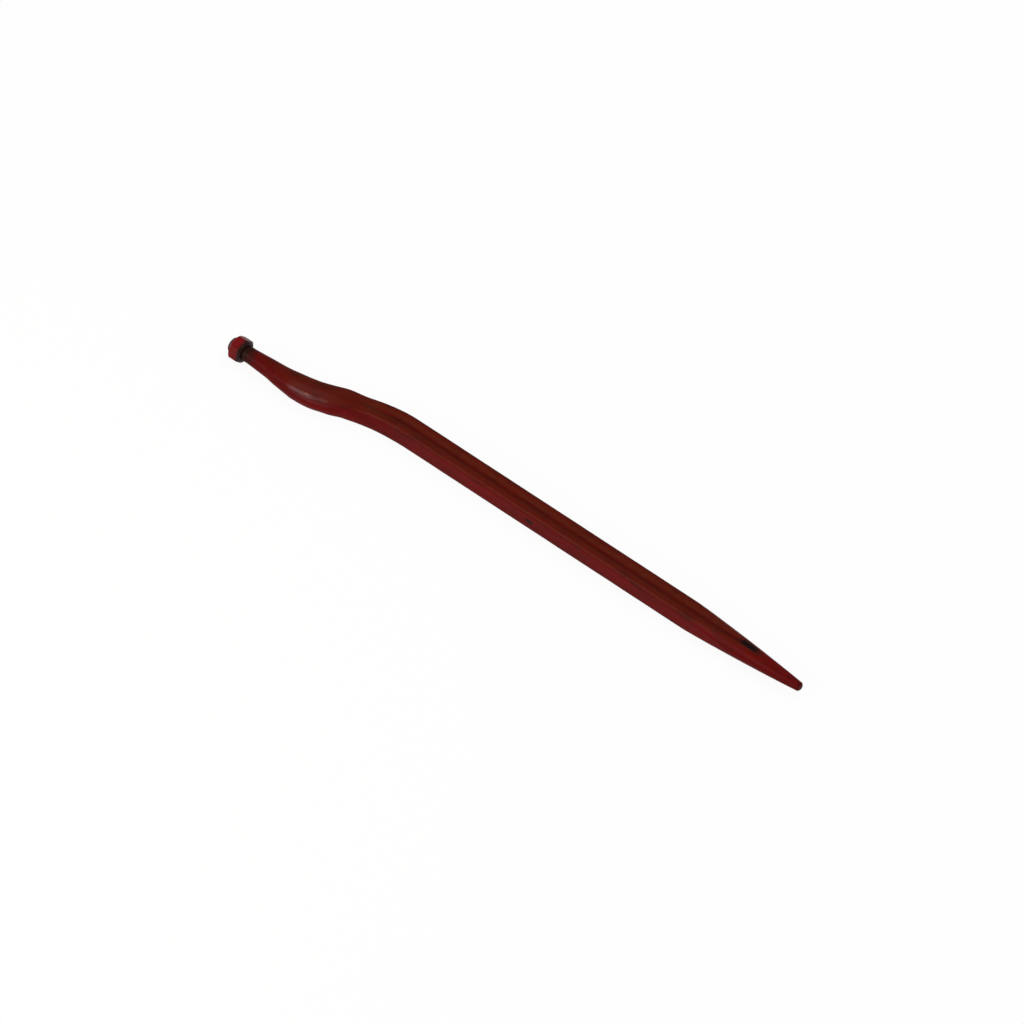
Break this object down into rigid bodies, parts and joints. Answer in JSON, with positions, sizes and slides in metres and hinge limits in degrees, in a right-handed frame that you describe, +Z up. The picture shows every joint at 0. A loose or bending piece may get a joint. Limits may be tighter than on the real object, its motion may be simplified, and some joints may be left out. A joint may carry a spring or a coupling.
{
  "type": "bale spear",
  "caption": "Cranked square-section bale spear: grooved bar with a long blunt-ended point, a slim conical neck and a hexagon nut on its threaded end.",
  "frame": {"origin": "centre of the bounding box on the floor that the spear lies on", "axes": "+X along the bar from the threaded end to the point, +Z up with the spear lying at rest on the lower face of its bar, the crank in a level plane, the neck offset towards -Y"},
  "size_m": [1.25, 0.0922, 0.0461],
  "materials": {
    "tine_paint": "dark red paint, satin, worn and grimy in the groove",
    "nut_paint": "dark red paint over the nut, satin"
  },
  "bodies": {
    "root": {"tine": "tine_paint", "nut": "nut_paint"}
  },
  "joints": []
}
